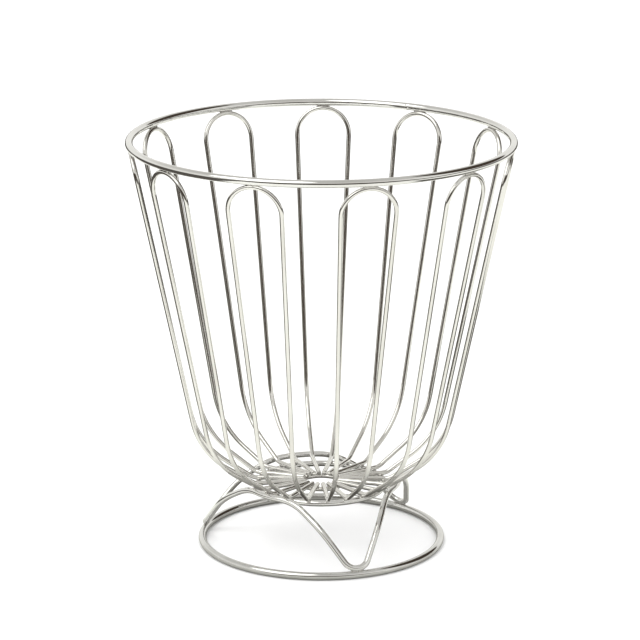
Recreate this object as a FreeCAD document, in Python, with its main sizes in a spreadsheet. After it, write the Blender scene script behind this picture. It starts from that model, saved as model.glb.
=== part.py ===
import FreeCAD, Part
import math
import os

# Wire produce basket: a tapered basket of eleven bent wires hung from a heavy
# rim, carried on a ring foot by one wave-shaped stand wire. Every crossing is
# a resistance weld, so the wires sink into each other by a hair (weld_sink).
# Millimetres, +Z up, floor at z = 0, -Y is the front, origin under the centre.

DRIVING_SIZES = [
    # rim and overall height
    ("overall_height", 259.7),
    ("rim_radius", 117.5),
    ("rim_wire", 4.7),
    # hairpin wires: the wall and the floor of the basket
    ("hairpin_count", 11),
    ("hairpin_wire", 2.9),
    ("first_hairpin_turn", -75.0),
    ("crown_half_turn", 8.45),
    ("crown_radius", 118.0),
    ("wall_foot_half_turn", 7.35),
    ("wall_foot_radius", 77.6),
    ("wall_foot_height", 62.4),
    ("wall_foot_bend", 50.0),
    ("floor_height", 40.15),
    ("floor_edge_radius", 42.8),
    ("floor_edge_bend", 9.0),
    ("floor_wire_end", 11.6),
    # how far, in degrees, welding left each hairpin off its even spacing
    ("hairpin_01_drift", -0.7),
    ("hairpin_02_drift", 0.8),
    ("hairpin_03_drift", 1.3),
    ("hairpin_04_drift", 1.2),
    ("hairpin_05_drift", 1.6),
    ("hairpin_06_drift", 1.1),
    ("hairpin_07_drift", 0.6),
    ("hairpin_08_drift", 0.5),
    ("hairpin_09_drift", -0.9),
    ("hairpin_10_drift", -1.4),
    ("hairpin_11_drift", -1.9),
    # rings under the floor
    ("floor_ring_radius", 39.5),
    ("floor_ring_wire", 3.8),
    ("hub_ring_radius", 13.2),
    ("hub_ring_wire", 2.9),
    # stand: ring foot and wave wire
    ("foot_radius", 75.2),
    ("foot_wire", 4.7),
    ("wave_count", 3),
    ("wave_wire", 3.8),
    ("first_wave_turn", -72.7),
    ("wave_foot_bend", 8.3),
    ("wave_knee_radius", 62.6),
    ("wave_knee_turn", 17.6),
    ("wave_knee_height", 28.2),
    ("wave_crest_radius", 49.0),
    ("wave_crest_half_turn", 11.0),
    ("wave_crest_lead", 10.5),
    # share of a straight run that a gentle bend may use up
    ("gentle_bend_share", 0.9),
    # how far welded wires sink into each other
    ("weld_sink", 0.2),
]

# A turn must not be zero when it is first set, or its axis would be lost.
STARTING_TURN = 1
# A swept wire's volume may differ from its section times its length by this.
VOLUME_TOLERANCE = 0.005

document = FreeCAD.newDocument("wire_produce_basket")


def make_size_sheet():
    """The spreadsheet that every object of the document reads."""
    sheet = document.addObject("Spreadsheet::Sheet", "Sizes")
    for row, (name, value) in enumerate(DRIVING_SIZES, start=1):
        sheet.set("A%d" % row, name)
        sheet.set("B%d" % row, str(value))
        sheet.setAlias("B%d" % row, name)
    document.recompute()
    return sheet


sizes = make_size_sheet()


# ---------------------------------------------------------------- path tools

def cylindrical(radius, turn, height):
    """A point at a radius, a turn about +Z in degrees from +X, and a height."""
    angle = math.radians(turn)
    return FreeCAD.Vector(radius * math.cos(angle), radius * math.sin(angle), height)


def fillet_points(before, corner, after, radius):
    """Start, middle and end of the arc that rounds a corner of a wire path."""
    back = (before - corner).normalize()
    ahead = (after - corner).normalize()
    half_angle = back.getAngle(ahead) / 2
    tangent_length = radius / math.tan(half_angle)
    bisector = (back + ahead).normalize()
    start = corner + back * tangent_length
    end = corner + ahead * tangent_length
    middle = corner + bisector * (radius / math.sin(half_angle) - radius)
    return start, middle, end


def largest_bend(before, corner, after, reach):
    """The radius whose arc starts a given reach before the corner."""
    half_angle = (before - corner).getAngle(after - corner) / 2
    return reach * math.tan(half_angle)


class WirePath:
    """Straight runs joined by tangent arcs, as a wire bender makes them."""

    def __init__(self, start):
        self.edges = []
        self.length = 0.0
        self.end = start

    def add(self, curve, end):
        edge = curve.toShape()
        self.edges.append(edge)
        self.length += edge.Length
        self.end = end

    def run_to(self, point):
        self.add(Part.LineSegment(self.end, point), point)

    def arc_through(self, middle, point):
        self.add(Part.Arc(self.end, middle, point), point)

    def bend(self, corner, after, radius):
        """Run straight towards a corner and round it towards the next point."""
        start, middle, end = fillet_points(self.end, corner, after, radius)
        self.run_to(start)
        self.arc_through(middle, end)

    def wire(self):
        return Part.Wire(self.edges)


# ------------------------------------------------------------ shared heights

def shoulder_slope():
    """Rise over run of the hairpin leg between the floor and the wall."""
    rise = sizes.wall_foot_height - sizes.floor_height
    return rise / (sizes.wall_foot_radius - sizes.floor_edge_radius)


def crown_height():
    """Centre height of a hairpin's crown, welded up against the rim."""
    rim_underside = sizes.overall_height - sizes.rim_wire
    return rim_underside - sizes.hairpin_wire / 2 + sizes.weld_sink


def crest_height():
    """Centre height of the wave's crests, welded under the sloping legs."""
    slope = shoulder_slope()
    leg_height = sizes.floor_height + slope * (sizes.wave_crest_radius - sizes.floor_edge_radius)
    spacing = (sizes.hairpin_wire + sizes.wave_wire) / 2 - sizes.weld_sink
    return leg_height - spacing * math.sqrt(1 + slope * slope)


# ------------------------------------------------------------------ rings

def make_ring(label, radius, wire, centre_height):
    """A closed wire ring; radius, wire and height are sheet expressions."""
    ring = document.addObject("Part::Torus", label)
    ring.Label = label
    ring.setExpression("Radius1", radius)
    ring.setExpression("Radius2", "(%s) / 2" % wire)
    ring.setExpression("Placement.Base.z", centre_height)
    return ring


def make_rings():
    under_floor = "Sizes.floor_height - (Sizes.hairpin_wire + %s) / 2 + Sizes.weld_sink"
    return [
        make_ring("rim_ring", "Sizes.rim_radius", "Sizes.rim_wire",
                  "Sizes.overall_height - Sizes.rim_wire / 2"),
        make_ring("floor_ring", "Sizes.floor_ring_radius", "Sizes.floor_ring_wire",
                  under_floor % "Sizes.floor_ring_wire"),
        make_ring("hub_ring", "Sizes.hub_ring_radius", "Sizes.hub_ring_wire",
                  under_floor % "Sizes.hub_ring_wire"),
        make_ring("foot_ring", "Sizes.foot_radius", "Sizes.foot_wire", "Sizes.foot_wire / 2"),
    ]


# ---------------------------------------------------------------- hairpins

def floor_half_turn():
    """On the floor all the legs are evenly spaced about the hub."""
    return 90.0 / sizes.hairpin_count


def wall_foot(side):
    """The corner between a leg's steep wall run and its slope to the floor."""
    turn = side * sizes.wall_foot_half_turn
    return cylindrical(sizes.wall_foot_radius, turn, sizes.wall_foot_height)


def crown_points(side):
    """Where a leg runs into the crown's arc, and the top of that arc.

    The two legs mirror each other, so produced downwards they meet at an apex
    and share a plane. A circle centred on the plane's middle line touches both.
    """
    foot = wall_foot(side)
    top = cylindrical(sizes.crown_radius, side * sizes.crown_half_turn, crown_height())
    leg_line = (top - foot).normalize()
    apex = foot - leg_line * (foot.y / leg_line.y)
    middle_line = FreeCAD.Vector(leg_line.x, 0, leg_line.z).normalize()
    spread = middle_line.getAngle(leg_line)
    top_distance = (crown_height() - apex.z) / middle_line.z
    centre_distance = top_distance / (1 + math.sin(spread))
    tangent = apex + leg_line * (centre_distance * math.cos(spread))
    return tangent, apex + middle_line * top_distance


def hairpin_path():
    """From the hub along the floor, up one leg, round the crown and back."""

    def floor_points(side):
        turn = side * floor_half_turn()
        end = cylindrical(sizes.floor_wire_end, turn, sizes.floor_height)
        edge = cylindrical(sizes.floor_edge_radius, turn, sizes.floor_height)
        return end, edge

    end_a, edge_a = floor_points(-1)
    end_b, edge_b = floor_points(1)
    tangent_a, crown = crown_points(-1)
    tangent_b = crown_points(1)[0]
    path = WirePath(end_a)
    path.bend(edge_a, wall_foot(-1), sizes.floor_edge_bend)
    path.bend(wall_foot(-1), tangent_a, sizes.wall_foot_bend)
    path.run_to(tangent_a)
    path.arc_through(crown, tangent_b)
    path.bend(wall_foot(1), edge_b, sizes.wall_foot_bend)
    path.bend(edge_b, end_b, sizes.floor_edge_bend)
    path.run_to(end_b)
    return path


# -------------------------------------------------------------- wave stand

def foot_corner(knee_spread, knee_middle, foot_point):
    """The sharp corner whose rounded bend just reaches the foot's weld point.

    The corner lies on the line from the middle of the two knees through the
    weld point. Its distance solves a quadratic, since the bend's radius, the
    knees' spread and the weld point's distance are known.
    """
    bend = sizes.wave_foot_bend
    reach = (foot_point - knee_middle).Length
    share = 1 - (bend / knee_spread) ** 2
    offset = reach - bend
    root = math.sqrt(offset * offset - share * (reach * reach - 2 * bend * reach))
    distance = (offset + root) / share
    return knee_middle + (foot_point - knee_middle).normalize() * distance


def wave_path():
    """Three feet and three crests in one closed run of wire."""
    step = 360.0 / sizes.wave_count
    knee_turn = sizes.wave_knee_turn
    height = crest_height()
    crest_turn = step / 2 - sizes.wave_crest_half_turn
    lead_angle = math.degrees(math.atan(sizes.wave_crest_lead / sizes.wave_crest_radius))
    shoulder_radius = math.hypot(sizes.wave_crest_lead, sizes.wave_crest_radius)
    weld_height = sizes.foot_wire + sizes.wave_wire / 2 - sizes.weld_sink

    knee_spread = sizes.wave_knee_radius * math.sin(math.radians(knee_turn))
    knee_depth = sizes.wave_knee_radius * math.cos(math.radians(knee_turn))
    corner = foot_corner(knee_spread,
                         FreeCAD.Vector(knee_depth, 0, sizes.wave_knee_height),
                         FreeCAD.Vector(sizes.foot_radius, 0, weld_height))

    path = WirePath(cylindrical(sizes.wave_crest_radius, -crest_turn, height))
    for index in range(int(sizes.wave_count)):
        middle = index * step
        shoulder_a = cylindrical(shoulder_radius, middle - crest_turn + lead_angle, height)
        knee_a = cylindrical(sizes.wave_knee_radius, middle - knee_turn, sizes.wave_knee_height)
        foot = cylindrical(corner.x, middle, corner.z)
        knee_b = cylindrical(sizes.wave_knee_radius, middle + knee_turn, sizes.wave_knee_height)
        shoulder_b = cylindrical(shoulder_radius, middle + crest_turn - lead_angle, height)
        crest_start = cylindrical(sizes.wave_crest_radius, middle + crest_turn, height)
        crest_top = cylindrical(sizes.wave_crest_radius, middle + step / 2, height)
        crest_end = cylindrical(sizes.wave_crest_radius, middle + step - crest_turn, height)

        shoulder_reach = sizes.gentle_bend_share * sizes.wave_crest_lead
        knee_reach = sizes.gentle_bend_share * (knee_a - shoulder_a).Length / 2
        shoulder_bend = largest_bend(path.end, shoulder_a, knee_a, shoulder_reach)
        knee_bend = largest_bend(shoulder_a, knee_a, foot, knee_reach)
        path.bend(shoulder_a, knee_a, shoulder_bend)
        path.bend(knee_a, foot, knee_bend)
        path.bend(foot, knee_b, sizes.wave_foot_bend)
        path.bend(knee_b, shoulder_b, knee_bend)
        path.bend(shoulder_b, crest_start, shoulder_bend)
        path.run_to(crest_start)
        path.arc_through(crest_top, crest_end)
    return path


# ------------------------------------------------------------------ sweeps

def make_spine(label, path):
    """The centre line that a wire is swept along."""
    spine = document.addObject("Part::Feature", label)
    spine.Label = label
    spine.Shape = path.wire()
    return spine


def make_section(label, path, wire):
    """The round section at the start of a path, square to its first run."""
    first = path.edges[0]
    section = document.addObject("Part::Circle", label)
    section.Label = label
    section.setExpression("Radius", "(%s) / 2" % wire)
    square_on = FreeCAD.Rotation(FreeCAD.Vector(0, 0, 1), first.tangentAt(first.FirstParameter))
    section.Placement = FreeCAD.Placement(first.valueAt(first.FirstParameter), square_on)
    return section


def make_sweep(label, spine, section, turn):
    """A wire swept along its spine and turned about the basket's axis."""
    sweep = document.addObject("Part::Sweep", label)
    sweep.Label = label
    sweep.Sections = [section]
    sweep.Spine = (spine, [])
    sweep.Solid = True
    sweep.Frenet = False
    basket_axis = FreeCAD.Vector(0, 0, 1)
    sweep.Placement = FreeCAD.Placement(FreeCAD.Vector(), basket_axis, STARTING_TURN)
    sweep.setExpression("Placement.Rotation.Angle", turn)
    return sweep


def hairpin_turn(label, index):
    """A hairpin's turn about the axis: even spacing, plus its drift if it has one."""
    turn = "Sizes.first_hairpin_turn + %d * 360 / Sizes.hairpin_count" % index
    drift = label.replace("_wire", "") + "_drift"
    if drift in dict(DRIVING_SIZES):
        turn += " + Sizes." + drift
    return turn


def make_hairpins():
    path = hairpin_path()
    spine = make_spine("hairpin_centre_line", path)
    section = make_section("hairpin_section", path, "Sizes.hairpin_wire")
    hairpins = []
    for index in range(int(sizes.hairpin_count)):
        label = "hairpin_wire_%02d" % (index + 1)
        hairpins.append(make_sweep(label, spine, section, hairpin_turn(label, index)))
    return hairpins, path


def make_wave():
    path = wave_path()
    spine = make_spine("wave_centre_line", path)
    section = make_section("wave_section", path, "Sizes.wave_wire")
    return make_sweep("wave_stand_wire", spine, section, "Sizes.first_wave_turn"), path


# ------------------------------------------------------------ build and save

def check_document():
    for item in document.Objects:
        if "Invalid" in item.State or "Error" in item.State:
            raise RuntimeError("%s failed: %s" % (item.Label, item.State))


def check_part(part):
    if part.Shape.isNull() or not part.Shape.isValid() or len(part.Shape.Solids) != 1:
        raise RuntimeError("%s is not one valid solid" % part.Label)


def check_wire_volume(part, path, wire):
    """A swept wire's volume is its section times its length."""
    expected = math.pi * wire * wire / 4 * path.length
    ratio = part.Shape.Volume / expected
    print("%s volume over section times length: %.4f" % (part.Label, ratio))
    if abs(ratio - 1) > VOLUME_TOLERANCE:
        raise RuntimeError("%s has the wrong volume" % part.Label)


rings = make_rings()
hairpins, hairpin_centre = make_hairpins()
wave, wave_centre = make_wave()
document.recompute()
check_document()

parts = rings + hairpins + [wave]
for part in parts:
    check_part(part)
check_wire_volume(hairpins[0], hairpin_centre, sizes.hairpin_wire)
check_wire_volume(wave, wave_centre, sizes.wave_wire)

os.makedirs("parts", exist_ok=True)
for part in parts:
    part.Shape.exportStep("parts/%s.step" % part.Label)
    print("wrote", part.Label, round(part.Shape.Volume, 1))
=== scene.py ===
import math
import random

import bmesh
import bpy
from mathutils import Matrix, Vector
from mathutils.bvhtree import BVHTree


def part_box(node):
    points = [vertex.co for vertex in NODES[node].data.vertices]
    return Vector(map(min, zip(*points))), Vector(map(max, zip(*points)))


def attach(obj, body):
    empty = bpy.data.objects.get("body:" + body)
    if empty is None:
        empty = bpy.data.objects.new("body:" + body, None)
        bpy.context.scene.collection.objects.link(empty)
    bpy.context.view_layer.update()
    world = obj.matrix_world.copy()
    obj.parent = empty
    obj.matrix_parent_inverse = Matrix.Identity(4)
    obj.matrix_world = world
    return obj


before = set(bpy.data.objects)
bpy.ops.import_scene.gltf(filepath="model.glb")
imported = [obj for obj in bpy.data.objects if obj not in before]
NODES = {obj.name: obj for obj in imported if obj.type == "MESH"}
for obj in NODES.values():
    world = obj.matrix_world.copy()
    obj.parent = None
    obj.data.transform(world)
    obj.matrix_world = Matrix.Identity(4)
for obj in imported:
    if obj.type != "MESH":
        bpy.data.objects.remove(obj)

# Chrome wire produce basket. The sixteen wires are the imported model's own
# solids. This script adds the plate's finish and what the welder leaves on
# them: a nugget at every weld, a ground butt seam on every ring and a sheared
# end on every floor wire. The studio comes last: floor, room, lamps, camera.
# Metres throughout, +Z up, -Y towards the camera.

MM = 0.001
bpy.context.view_layer.update()
UP = Vector((0, 0, 1))
dice = random.Random(11)

HAIRPIN_COUNT = 11
HAIRPIN_WIRE = 2.9 * MM
HAIRPIN_NAMES = ["hairpin_wire_%02d" % (index + 1) for index in range(HAIRPIN_COUNT)]
LEG_HALF_TURN = math.pi / 2 / HAIRPIN_COUNT


# ------------------------------------------------------------ reading the CAD

def radial(turn):
    """Unit vector pointing outwards at a turn about +Z from +X, in radians."""
    return Vector((math.cos(turn), math.sin(turn), 0))


def tangential(turn):
    """Unit vector pointing anticlockwise round the axis at a turn."""
    return Vector((-math.sin(turn), math.cos(turn), 0))


class Ring:
    """Size and place of a closed wire ring, read from its node's box."""

    def __init__(self, node):
        low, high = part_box(node)
        self.node = node
        self.wire = high.z - low.z
        self.radius = (high.x - low.x - self.wire) / 2
        self.height = (high.z + low.z) / 2


def surface_tree(node):
    """A searchable copy of a node's surface."""
    mesh = NODES[node].data
    corners = [vertex.co for vertex in mesh.vertices]
    return BVHTree.FromPolygons(corners, [polygon.vertices for polygon in mesh.polygons])


def crown_of(node):
    """Centre of the top of a hairpin's crown, from its highest vertices."""
    slack = 0.15 * MM
    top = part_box(node)[1].z
    near = [vertex.co for vertex in NODES[node].data.vertices if vertex.co.z > top - slack]
    centre = sum(near, Vector()) / len(near)
    centre.z = top - HAIRPIN_WIRE / 2
    return centre


RIM = Ring("rim_ring")
FLOOR_RING = Ring("floor_ring")
HUB_RING = Ring("hub_ring")
FOOT_RING = Ring("foot_ring")
TREES = {name: surface_tree(name) for name in NODES}
CROWNS = [crown_of(name) for name in HAIRPIN_NAMES]


def turn_of(point):
    """A point's turn about +Z from +X, in radians."""
    return math.atan2(point.y, point.x)


def leg_turns(index):
    """The turns of a hairpin's two legs where they lie on the floor."""
    middle = turn_of(CROWNS[index])
    return middle - LEG_HALF_TURN, middle + LEG_HALF_TURN


# ------------------------------------------------------------------ materials

class Graph:
    """A short way to write the node graph of a material or of the world."""

    def __init__(self, owner):
        owner.use_nodes = True
        self.owner = owner
        self.tree = owner.node_tree
        self.shader = self.tree.nodes.get("Principled BSDF")

    def node(self, kind, **settings):
        """A new node with these settings."""
        made = self.tree.nodes.new(kind)
        for key, value in settings.items():
            setattr(made, key, value)
        return made

    def link(self, source, target):
        """Joins an output to an input."""
        self.tree.links.new(source, target)

    def place(self, stretch=(1, 1, 1)):
        """Object coordinates, stretched along the axes."""
        coordinates = self.node("ShaderNodeTexCoord")
        mapping = self.node("ShaderNodeMapping")
        mapping.inputs["Scale"].default_value = stretch
        self.link(coordinates.outputs["Object"], mapping.inputs["Vector"])
        return mapping.outputs["Vector"]

    def noise(self, scale, detail, stretch=(1, 1, 1)):
        """Smooth noise in object space, from 0 to 1."""
        texture = self.node("ShaderNodeTexNoise")
        texture.inputs["Scale"].default_value = scale
        texture.inputs["Detail"].default_value = detail
        self.link(self.place(stretch), texture.inputs["Vector"])
        return texture.outputs["Fac"]

    def spread(self, value, low, high, new_low, new_high):
        """Maps a value from one range to another, and holds it there."""
        ranged = self.node("ShaderNodeMapRange")
        ranged.inputs["From Min"].default_value = low
        ranged.inputs["From Max"].default_value = high
        ranged.inputs["To Min"].default_value = new_low
        ranged.inputs["To Max"].default_value = new_high
        self.link(value, ranged.inputs["Value"])
        return ranged.outputs["Result"]

    def two_tone(self, value, first, second):
        """A colour between two, by a value from 0 to 1."""
        ramp = self.node("ShaderNodeValToRGB")
        ramp.color_ramp.elements[0].color = (*first, 1)
        ramp.color_ramp.elements[1].color = (*second, 1)
        self.link(value, ramp.inputs["Fac"])
        return ramp.outputs["Color"]

    def math(self, operation, first, second):
        """One operation on two values."""
        made = self.node("ShaderNodeMath", operation=operation)
        self.link(first, made.inputs[0])
        self.link(second, made.inputs[1])
        return made.outputs["Value"]

    def size_of(self, value):
        """A value without its sign."""
        made = self.node("ShaderNodeMath", operation="ABSOLUTE")
        self.link(value, made.inputs[0])
        return made.outputs["Value"]

    def length(self, vector):
        """A vector's length."""
        made = self.node("ShaderNodeVectorMath", operation="LENGTH")
        self.link(vector, made.inputs[0])
        return made.outputs["Value"]

    def toward(self, vector, target):
        """How far a direction points the way of target, up to 1."""
        made = self.node("ShaderNodeVectorMath", operation="DOT_PRODUCT")
        self.link(vector, made.inputs[0])
        made.inputs[1].default_value = Vector(target).normalized()
        return made.outputs["Value"]

    def seen_or_mirrored(self, seen, mirrored):
        """One shader for what the camera sees, another for what the chrome mirrors."""
        path = self.node("ShaderNodeLightPath")
        choice = self.node("ShaderNodeMixShader")
        self.link(path.outputs["Is Glossy Ray"], choice.inputs[0])
        self.link(seen, choice.inputs[1])
        self.link(mirrored, choice.inputs[2])
        return choice.outputs["Shader"]

    def bump(self, height, distance, strength, under=None):
        """A surface roughened by a height, over another bump if one is given."""
        made = self.node("ShaderNodeBump")
        made.inputs["Distance"].default_value = distance
        made.inputs["Strength"].default_value = strength
        self.link(height, made.inputs["Height"])
        if under is not None:
            self.link(under, made.inputs["Normal"])
        return made.outputs["Normal"]


def wire_chrome(name, bright, deep, draw_stretch, haze=(0.03, 0.11)):
    """Bright nickel-chrome plate over drawn wire.

    The tone drifts a little along the wire, finger smudges soften the gloss in
    patches, the plate is slightly uneven, and the drawing marks of the wire
    just show through it.
    """
    graph = Graph(bpy.data.materials.new(name))
    drift = graph.noise(34, 3)
    tone = graph.two_tone(graph.spread(drift, 0.35, 0.65, 0, 1), deep, bright)
    graph.link(tone, graph.shader.inputs["Base Color"])
    smudge = graph.spread(graph.noise(95, 4), 0.45, 0.72, *haze)
    marks = graph.noise(1500, 2, draw_stretch)
    streaks = graph.spread(marks, 0.3, 0.7, 0.0, 0.03)
    graph.link(graph.math("ADD", smudge, streaks), graph.shader.inputs["Roughness"])
    peel = graph.bump(graph.noise(420, 2), 0.02 * MM, 0.5)
    drawn = graph.bump(marks, 0.006 * MM, 0.6, peel)
    graph.link(drawn, graph.shader.inputs["Normal"])
    graph.shader.inputs["Metallic"].default_value = 1.0
    return graph.owner


def weld_chrome():
    """The same plate over a weld: grainier and darker."""
    graph = Graph(bpy.data.materials.new("weld_chrome"))
    grain = graph.noise(1900, 4)
    tone = graph.two_tone(grain, (0.34, 0.32, 0.30), (0.66, 0.65, 0.63))
    graph.link(tone, graph.shader.inputs["Base Color"])
    graph.link(graph.spread(grain, 0.3, 0.7, 0.16, 0.34), graph.shader.inputs["Roughness"])
    graph.link(graph.bump(grain, 0.05 * MM, 0.7), graph.shader.inputs["Normal"])
    graph.shader.inputs["Metallic"].default_value = 1.0
    return graph.owner


# How the drawing marks stretch along each kind of wire, and the foot's gloss.
EVEN = (1, 1, 1)
ALONG_LEGS = (1, 1, 0.03)
ROUND_RINGS = (1, 1, 2)
FOOT_HAZE = (0.03, 0.1)
heavy_chrome = wire_chrome("heavy_wire_chrome", (0.86, 0.86, 0.86), (0.78, 0.775, 0.765), ROUND_RINGS)
basket_chrome = wire_chrome("basket_wire_chrome", (0.86, 0.855, 0.84), (0.77, 0.76, 0.74), ALONG_LEGS)
stand_chrome = wire_chrome("stand_wire_chrome", (0.85, 0.85, 0.85), (0.77, 0.765, 0.755), EVEN)
# Painted shade: the foot's chrome is a darker copy of the wire chrome, for the shade the basket above
# throws into its reflections.
foot_chrome_painted_shade = wire_chrome("foot_wire_chrome_painted_shade", (0.78, 0.78, 0.78), (0.70, 0.70, 0.69),
                          ROUND_RINGS, FOOT_HAZE)
bead_chrome = weld_chrome()

WIRE_FINISH = {"rim_ring": heavy_chrome, "foot_ring": foot_chrome_painted_shade, "floor_ring": stand_chrome,
               "wave_stand_wire": stand_chrome, "hub_ring": basket_chrome}
for name, node in NODES.items():
    finish = WIRE_FINISH.get(name, basket_chrome)
    for slot in node.material_slots:
        slot.material = finish


# ----------------------------------------------------------------- fine pieces

def new_piece(name, mesh, finish):
    """Makes an object of a bmesh, smooth-shaded and riding on the basket."""
    bmesh.ops.recalc_face_normals(mesh, faces=mesh.faces)
    data = bpy.data.meshes.new(name)
    mesh.to_mesh(data)
    mesh.free()
    data.shade_smooth()
    piece = bpy.data.objects.new(name, data)
    bpy.context.scene.collection.objects.link(piece)
    piece.data.materials.append(finish)
    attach(piece, "root")


def skin(mesh, loops):
    """Faces between neighbouring closed loops of equally many vertices."""
    for lower, upper in zip(loops, loops[1:]):
        count = len(lower)
        for index in range(count):
            after = (index + 1) % count
            mesh.faces.new((lower[index], lower[after], upper[after], upper[index]))


def close_end(mesh, loop, point):
    """A fan of faces from a loop to one point."""
    tip = mesh.verts.new(point)
    count = len(loop)
    for index in range(count):
        mesh.faces.new((loop[index], loop[(index + 1) % count], tip))


class Weld:
    """One cross-wire weld: the metal squeezed out between two wires.

    centre is the contact point, normal points from the lower wire to the upper,
    and along lies in the contact plane. The metal fills the space between the
    two wires out to about where they are gap apart, and sinks into each by
    DEPTH.
    """

    SPOKES = 40
    STEP = 0.05 * MM
    REACH = 4.2 * MM
    DEPTH = 0.12 * MM
    CORE = 0.5 * MM
    RAY_START = 2.6 * MM
    # How the edge wanders: waves round the weld, and part of the gap.
    RIPPLES = ((2, 0.10), (3, 0.08), (7, 0.05))
    # How far out the side of the metal stands, as parts of its reach.
    SHOULDER = 0.99
    WAIST = 0.95

    def __init__(self, lower, upper, centre, normal, along, gap):
        self.lower = TREES[lower]
        self.upper = TREES[upper]
        self.centre = centre
        self.normal = normal.normalized()
        self.along = (along - self.normal * along.dot(self.normal)).normalized()
        self.across = self.normal.cross(self.along)
        self.gap = gap

    def heights(self, foot):
        """Heights of the two facing wire surfaces over a point of the contact plane."""
        start = self.normal * self.RAY_START
        furthest = 2 * self.RAY_START
        down = self.lower.ray_cast(foot + start, -self.normal, furthest)
        up = self.upper.ray_cast(foot - start, self.normal, furthest)
        if down[0] is None or up[0] is None:
            return None
        return (down[0] - foot).dot(self.normal), (up[0] - foot).dot(self.normal)

    def edge(self, direction, gap):
        """How far out the two surfaces part by a gap, and their heights there."""
        reach = 0.0
        found = (0.0, 0.0)
        while reach < self.REACH:
            heights = self.heights(self.centre + direction * reach)
            if heights is None:
                break
            found = heights
            if heights[1] - heights[0] > gap:
                break
            reach += self.STEP
        return reach, found

    def build(self, mesh):
        """Adds the metal: five loops round the contact, closed inside each wire."""
        phases = [dice.uniform(0, 2 * math.pi) for _ in self.RIPPLES]
        rings = [[], [], [], [], []]
        for spoke in range(self.SPOKES):
            angle = 2 * math.pi * spoke / self.SPOKES
            direction = self.along * math.cos(angle) + self.across * math.sin(angle)
            ripple = 1
            for (waves, part), phase in zip(self.RIPPLES, phases):
                ripple += part * math.sin(waves * angle + phase)
            reach, (low, high) = self.edge(direction, self.gap * ripple)
            middle = (low + high) / 2
            profile = (
                (reach - self.DEPTH, low - self.DEPTH),
                (reach * self.SHOULDER, low * 0.8 + middle * 0.2),
                (reach * self.WAIST, middle),
                (reach * self.SHOULDER, high * 0.8 + middle * 0.2),
                (reach - self.DEPTH, high + self.DEPTH),
            )
            for ring, (out, height) in zip(rings, profile):
                point = self.centre + direction * out + self.normal * height
                ring.append(mesh.verts.new(point))
        skin(mesh, rings)
        close_end(mesh, rings[0], self.centre - self.normal * self.CORE)
        close_end(mesh, rings[-1], self.centre + self.normal * self.CORE)


def surface_height(tree, spot, start, direction):
    """Height at which a vertical ray from a start height meets a surface."""
    hit = tree.ray_cast(Vector((spot.x, spot.y, start)), direction)[0]
    return None if hit is None else hit.z


def ring_weld(ring, node, turn, gap):
    """The weld of a floor wire lying across a ring."""
    foot = radial(turn) * ring.radius
    foot.z = ring.height + ring.wire / 2
    return Weld(ring.node, node, foot, UP, radial(turn), gap)


# How far apart the two wires are at a weld's edge.
RIM_GAP = 0.75 * MM
FLOOR_RING_GAP = 0.55 * MM
HUB_RING_GAP = 0.5 * MM
CREST_GAP = 0.7 * MM
FOOT_GAP = 0.9 * MM


def rim_welds(mesh):
    """Each crown is welded up against the underside of the rim."""
    for name, crown in zip(HAIRPIN_NAMES, CROWNS):
        turn = turn_of(crown)
        rim_centre = radial(turn) * RIM.radius
        rim_centre.z = RIM.height
        normal = (rim_centre - crown).normalized()
        centre = crown + normal * (HAIRPIN_WIRE / 2)
        Weld(name, "rim_ring", centre, normal, tangential(turn), RIM_GAP).build(mesh)


def floor_welds(mesh, ring, gap):
    """Every floor wire is welded to a ring under it."""
    for index, name in enumerate(HAIRPIN_NAMES):
        for turn in leg_turns(index):
            ring_weld(ring, name, turn, gap).build(mesh)


def lowest_points(node):
    """The wave's feet: centres of its lowest vertices, one per foot."""
    slack = 0.12 * MM
    foot_spread = 20 * MM
    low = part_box(node)[0].z
    feet = []
    for vertex in NODES[node].data.vertices:
        if vertex.co.z < low + slack:
            near = [foot for foot in feet if (foot[0] - vertex.co).length < foot_spread]
            if near:
                near[0].append(vertex.co)
            else:
                feet.append([vertex.co])
    return [sum(foot, Vector()) / len(foot) for foot in feet]


def foot_welds(mesh):
    """The wave's feet stand on the foot ring."""
    for foot in lowest_points("wave_stand_wire"):
        turn = turn_of(foot)
        centre = radial(turn) * FOOT_RING.radius
        centre.z = FOOT_RING.wire
        Weld("foot_ring", "wave_stand_wire", centre, UP, tangential(turn), FOOT_GAP).build(mesh)


# Where crests are looked for: outwards along a floor wire, from above and below.
CREST_SEARCH_START = 44 * MM
CREST_SEARCH_STEP = 0.2 * MM
CREST_SEARCH_STEPS = 60
OVER_THE_STAND = 60 * MM
UNDER_THE_FLOOR = 30 * MM


def crest_contact(name, turn):
    """The gap, place and height where a leg passes closest over the wave."""
    wave = TREES["wave_stand_wire"]
    leg = TREES[name]
    best = None
    for step in range(CREST_SEARCH_STEPS):
        spot = radial(turn) * (CREST_SEARCH_START + step * CREST_SEARCH_STEP)
        top = surface_height(wave, spot, OVER_THE_STAND, -UP)
        under = surface_height(leg, spot, UNDER_THE_FLOOR, UP)
        if top is None or under is None:
            continue
        if best is None or under - top < best[0]:
            best = (under - top, spot, (under + top) / 2)
    return best


def crest_welds(mesh):
    """The legs that touch the wave's crests are welded to them."""
    reach = 1.5 * MM
    for index, name in enumerate(HAIRPIN_NAMES):
        for turn in leg_turns(index):
            contact = crest_contact(name, turn)
            if contact is None or contact[0] > 0:
                continue
            _, spot, height = contact
            inner = surface_height(TREES[name], spot - radial(turn) * reach, UNDER_THE_FLOOR, UP)
            outer = surface_height(TREES[name], spot + radial(turn) * reach, UNDER_THE_FLOOR, UP)
            along = (radial(turn) * 2 * reach + UP * (outer - inner)).normalized()
            normal = tangential(turn).cross(along)
            normal = normal if normal.z > 0 else -normal
            centre = Vector((spot.x, spot.y, height))
            Weld("wave_stand_wire", name, centre, normal, along, CREST_GAP).build(mesh)


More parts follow.
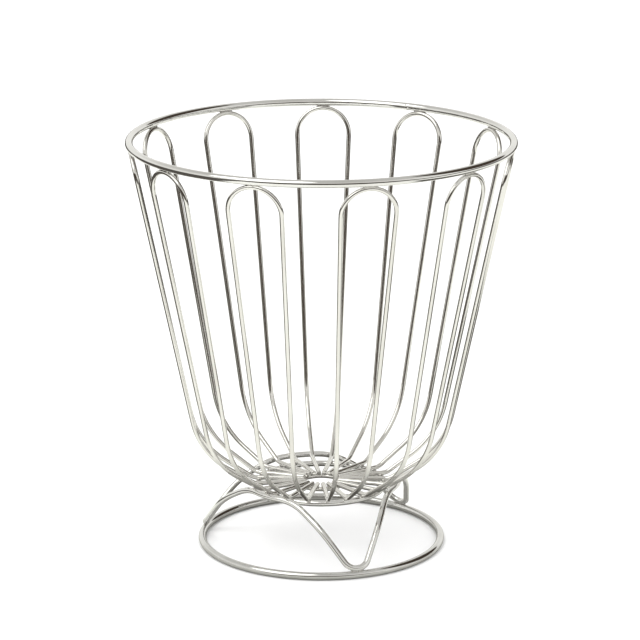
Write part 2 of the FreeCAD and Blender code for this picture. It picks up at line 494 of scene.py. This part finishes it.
def weld_piece(name, make, *values):
    """All the welds of one kind, as one piece."""
    mesh = bmesh.new()
    make(mesh, *values)
    new_piece(name, mesh, bead_chrome)


weld_piece("rim_weld_beads", rim_welds)
weld_piece("floor_ring_weld_beads", floor_welds, FLOOR_RING, FLOOR_RING_GAP)
weld_piece("hub_ring_weld_beads", floor_welds, HUB_RING, HUB_RING_GAP)
weld_piece("stand_crest_weld_beads", crest_welds)
weld_piece("stand_foot_weld_beads", foot_welds)


def butt_seam(mesh, ring, turn, proud):
    """The butt weld that closes a ring, ground flush above and below.

    proud is how far the weld stands out at the sides, in its middle.
    """
    half_length = 2.4 * MM
    half_steps = 8
    around = 36
    loops = []
    for step in range(2 * half_steps + 1):
        share = step / half_steps - 1
        angle = turn + share * half_length / ring.radius
        swell = math.cos(share * math.pi / 2) ** 2
        loop = []
        for index in range(around):
            tube = 2 * math.pi * index / around
            side = abs(math.cos(tube))
            grain = 1 + 0.12 * math.sin(5 * tube + 9 * share)
            lift = proud * swell * side * grain
            sunk = 0.03 * MM * (1 - swell)
            radius = ring.wire / 2 + lift - sunk
            point = radial(angle) * (ring.radius + radius * math.cos(tube))
            point.z = ring.height + radius * math.sin(tube)
            loop.append(mesh.verts.new(point))
        loops.append(loop)
    skin(mesh, loops)
    for loop, share in ((loops[0], -1), (loops[-1], 1)):
        centre = radial(turn + share * half_length / ring.radius) * ring.radius
        centre.z = ring.height
        close_end(mesh, loop, centre)


def seam_piece(name, ring, degrees, proud, finish):
    """One ring's butt seam, as one piece."""
    mesh = bmesh.new()
    butt_seam(mesh, ring, math.radians(degrees), proud)
    new_piece(name, mesh, finish)


seam_piece("rim_butt_seam", RIM, 62, 0.16 * MM, heavy_chrome)
seam_piece("foot_ring_butt_seam", FOOT_RING, 118, 0.16 * MM, foot_chrome_painted_shade)
seam_piece("floor_ring_butt_seam", FLOOR_RING, 71, 0.12 * MM, stand_chrome)
seam_piece("hub_ring_butt_seam", HUB_RING, 44, 0.1 * MM, basket_chrome)


# A sheared end's outline: share of the wire's radius, and millimetres past its
# tip. SHEARED_BACK and SHEARED_MIDDLE are the middles of its two closed faces.
SHEARED_OUTLINE = ((0.985, -0.35), (1.0, -0.1), (1.012, 0.02), (0.985, 0.16),
                   (0.9, 0.27), (0.7, 0.32), (0.4, 0.33))
SHEARED_BACK = -0.3 * MM
SHEARED_MIDDLE = 0.335 * MM
SHEAR_TILT = 0.12


def sheared_end(mesh, tip, inward):
    """The cropped end of a floor wire: rounded on its edge, with a faint lip."""
    radius = HAIRPIN_WIRE / 2
    around = 28
    side = inward.cross(UP)
    tilt = dice.uniform(-SHEAR_TILT, SHEAR_TILT)
    furthest = SHEARED_OUTLINE[-1][1]
    loops = []
    for share, out in SHEARED_OUTLINE:
        loop = []
        for index in range(around):
            angle = 2 * math.pi * index / around
            lean = tilt * math.sin(angle) * share * radius * max(out, 0) / furthest
            point = tip + side * (math.cos(angle) * share * radius)
            point += UP * (math.sin(angle) * share * radius)
            point += inward * (out * MM + lean)
            loop.append(mesh.verts.new(point))
        loops.append(loop)
    skin(mesh, loops)
    close_end(mesh, loops[0], tip + inward * SHEARED_BACK)
    close_end(mesh, loops[-1], tip + inward * SHEARED_MIDDLE)


def floor_wire_tips(mesh):
    """The sheared ends of all the floor wires."""
    for index, name in enumerate(HAIRPIN_NAMES):
        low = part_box(name)[0].z
        nearest = min(vertex.co.xy.length for vertex in NODES[name].data.vertices)
        for turn in leg_turns(index):
            tip = radial(turn) * nearest
            tip.z = low + HAIRPIN_WIRE / 2
            sheared_end(mesh, tip, -radial(turn))


mesh = bmesh.new()
floor_wire_tips(mesh)
new_piece("floor_wire_sheared_ends", mesh, basket_chrome)


# ---------------------------------------------------------------------- studio

FLOOR_RADIUS = 12.0
# Where the mirrored floor changes tone: distances in metres, each from and to.
# Painted shade: the mirrored floor darkens towards the middle, for the basket's shadow on it.
UNDER_BASKET_PAINTED_SHADE_FADE = (0.03, 0.12)
FAR_END = (1.0, 1.3)
STRIP_EDGE = (0.12, 0.16)
CARD_EDGE = (0.4, 0.43)
# Each side of the pale strip moves out by this much for each metre to the
# front or the back.
STRIP_WIDENING = 0.8
# Parts of the full tone.
# The painted shade's darkest tone, under the basket.
PAINTED_SHADE_TONE = 0.1
ROUND_BASKET_TONE = 0.8
OFF_STRIP_TONE = 0.08


def mirrored_floor_level(graph):
    """How pale the chrome mirrors each place on the floor, from 0 to 1.

    Painted shade in the middle, under the basket, for the shadow the basket casts. Pale in a
    strip to the front and the back that widens as it goes, and beyond an edge on the right.
    Dark elsewhere and dark far off.
    """
    away = graph.length(graph.place())
    # Painted shade under the basket, for the shadow it casts on the floor.
    painted_shade = graph.spread(away, *UNDER_BASKET_PAINTED_SHADE_FADE, PAINTED_SHADE_TONE, ROUND_BASKET_TONE)
    ends = graph.spread(away, *FAR_END, 1, 0)
    split = graph.node("ShaderNodeSeparateXYZ")
    graph.link(graph.place((1, STRIP_WIDENING, 1)), split.inputs["Vector"])
    across = split.outputs["X"]
    off_middle = graph.math("SUBTRACT", graph.size_of(across), graph.size_of(split.outputs["Y"]))
    strip = graph.spread(off_middle, *STRIP_EDGE, 1, 0)
    right_card = graph.spread(across, *CARD_EDGE, 0, 1)
    pale = graph.math("MULTIPLY", graph.math("MAXIMUM", strip, right_card), ends)
    return graph.math("MULTIPLY", painted_shade, graph.spread(pale, 0, 1, OFF_STRIP_TONE, 1))


def studio_floor():
    """A round pale floor, that the chrome mirrors with darker and paler places and with painted shade
    under the basket.
    """
    graph = Graph(bpy.data.materials.new("studio_floor"))
    tone = graph.two_tone(graph.noise(6, 2), (0.90, 0.90, 0.90), (0.92, 0.92, 0.92))
    graph.link(tone, graph.shader.inputs["Base Color"])
    graph.shader.inputs["Roughness"].default_value = 0.9
    graph.shader.inputs["Specular IOR Level"].default_value = 0.1
    level = mirrored_floor_level(graph)
    mirrored = graph.node("ShaderNodeBsdfDiffuse")
    mirrored_tone = graph.two_tone(level, (0.01, 0.004, 0.0), (0.93, 0.93, 0.865))
    graph.link(mirrored_tone, mirrored.inputs["Color"])
    both = graph.seen_or_mirrored(graph.shader.outputs["BSDF"], mirrored.outputs["BSDF"])
    graph.link(both, graph.tree.nodes["Material Output"].inputs["Surface"])
    mesh = bmesh.new()
    bmesh.ops.create_circle(mesh, cap_ends=True, segments=96, radius=FLOOR_RADIUS)
    data = bpy.data.meshes.new("studio_floor")
    mesh.to_mesh(data)
    mesh.free()
    floor = bpy.data.objects.new("studio_floor", data)
    bpy.context.scene.collection.objects.link(floor)
    data.materials.append(graph.owner)


def soft_box(name, place, aim, size, power):
    """A large soft lamp that the chrome doesn't mirror."""
    light = bpy.data.lights.new(name, "AREA")
    light.shape = "RECTANGLE"
    light.size, light.size_y = size
    light.energy = power
    lamp = bpy.data.objects.new(name, light)
    lamp.location = place
    lamp.rotation_euler = (Vector(aim) - Vector(place)).to_track_quat("-Z", "Y").to_euler()
    lamp.visible_glossy = False
    bpy.context.scene.collection.objects.link(lamp)


# The mirrored room, in parts of a unit direction. Pairs are from and to.
# The dark band's height straight in front, before it falls away to the sides.
BAND_HEIGHT = 0.42
BAND_SOFTNESS = 0.06
BAND_ENDS_AT = -0.45
BACK_WALL = (0.5, 0.85)
DARK_PATCH_TOWARD = (0.75, 0.35, 0.56)
DARK_PATCH_EDGE = (0.87, 0.89)
CEILING_RISE = (0.3, 0.8)
CEILING_LIGHT = (0.4, 0.24)
LAMP_TOWARD = (-0.45, -0.4, 0.8)
LAMP_EDGE = (0.9, 0.93)


def mirrored_room_light(graph):
    """How bright the chrome mirrors the room in each direction.

    Pale walls, with a low dark band in front that falls away to the sides, a
    dark patch at the back on the right, and a bright lamp high in front on the
    left.
    """
    direction = graph.node("ShaderNodeTexCoord").outputs["Generated"]
    split = graph.node("ShaderNodeSeparateXYZ")
    graph.link(direction, split.inputs["Vector"])
    rearward = split.outputs["Y"]
    upward = split.outputs["Z"]
    band = graph.spread(rearward, -1.0, BAND_ENDS_AT, -BAND_HEIGHT, 0.0)
    over_band = graph.spread(graph.math("ADD", upward, band), 0.0, BAND_SOFTNESS, 0, 1)
    behind = graph.spread(rearward, *BACK_WALL, 0, 1)
    open_wall = graph.math("MAXIMUM", over_band, behind)
    no_patch = graph.spread(graph.toward(direction, DARK_PATCH_TOWARD), *DARK_PATCH_EDGE, 1, 0)
    ceiling = graph.spread(upward, *CEILING_RISE, *CEILING_LIGHT)
    lamp = graph.spread(graph.toward(direction, LAMP_TOWARD), *LAMP_EDGE, 0, 1)
    room_light = graph.math("ADD", ceiling, lamp)
    return graph.math("MULTIPLY", graph.math("MULTIPLY", open_wall, no_patch), room_light)


def studio_world():
    """A plain pale room to look at, and the darker and paler one the chrome mirrors."""
    world = bpy.data.worlds.new("studio_world")
    bpy.context.scene.world = world
    graph = Graph(world)
    tone = graph.two_tone(mirrored_room_light(graph), (0.06, 0.046, 0.035), (2.2, 2.2, 2.1))
    room = graph.tree.nodes["Background"]
    graph.link(tone, room.inputs["Color"])
    pale = graph.node("ShaderNodeBackground")
    pale.inputs["Color"].default_value = (1, 1, 1, 1)
    pale.inputs["Strength"].default_value = 1.12
    both = graph.seen_or_mirrored(pale.outputs["Background"], room.outputs["Background"])
    graph.link(both, graph.tree.nodes["World Output"].inputs["Surface"])


# Fitted to the rim and the foot. Metres, degrees, radians and millimetres.
CAMERA_PLACE = (0.00944, -1.84432, 0.65780)
CAMERA_LOOKS_DOWN = 15.578
CAMERA_TURN = 0.0055723
CAMERA_LENS = 173.5


def studio_camera():
    """The camera: a long lens from the front, looking down a little."""
    data = bpy.data.cameras.new("studio_camera")
    data.sensor_width = 36
    data.lens = CAMERA_LENS
    data.clip_end = 60
    camera = bpy.data.objects.new("studio_camera", data)
    camera.location = CAMERA_PLACE
    camera.rotation_euler = (math.radians(90 - CAMERA_LOOKS_DOWN), 0, CAMERA_TURN)
    bpy.context.scene.collection.objects.link(camera)
    bpy.context.scene.camera = camera


studio_floor()
studio_world()
soft_box("key_soft_box", (-0.7, -1.5, 2.0), (0, 0, 0.12), (1.1, 0.8), 9)
soft_box("left_soft_box", (-1.55, -1.0, 0.75), (0, 0, 0.2), (1.0, 1.4), 7)
soft_box("right_soft_box", (1.6, -0.8, 0.7), (0, 0, 0.2), (0.6, 1.4), 4)
soft_box("top_soft_box", (-0.6, 0.9, 2.0), (0, 0, 0), (1.2, 1.0), 10)
studio_camera()
bpy.context.scene.view_settings.view_transform = "Standard"
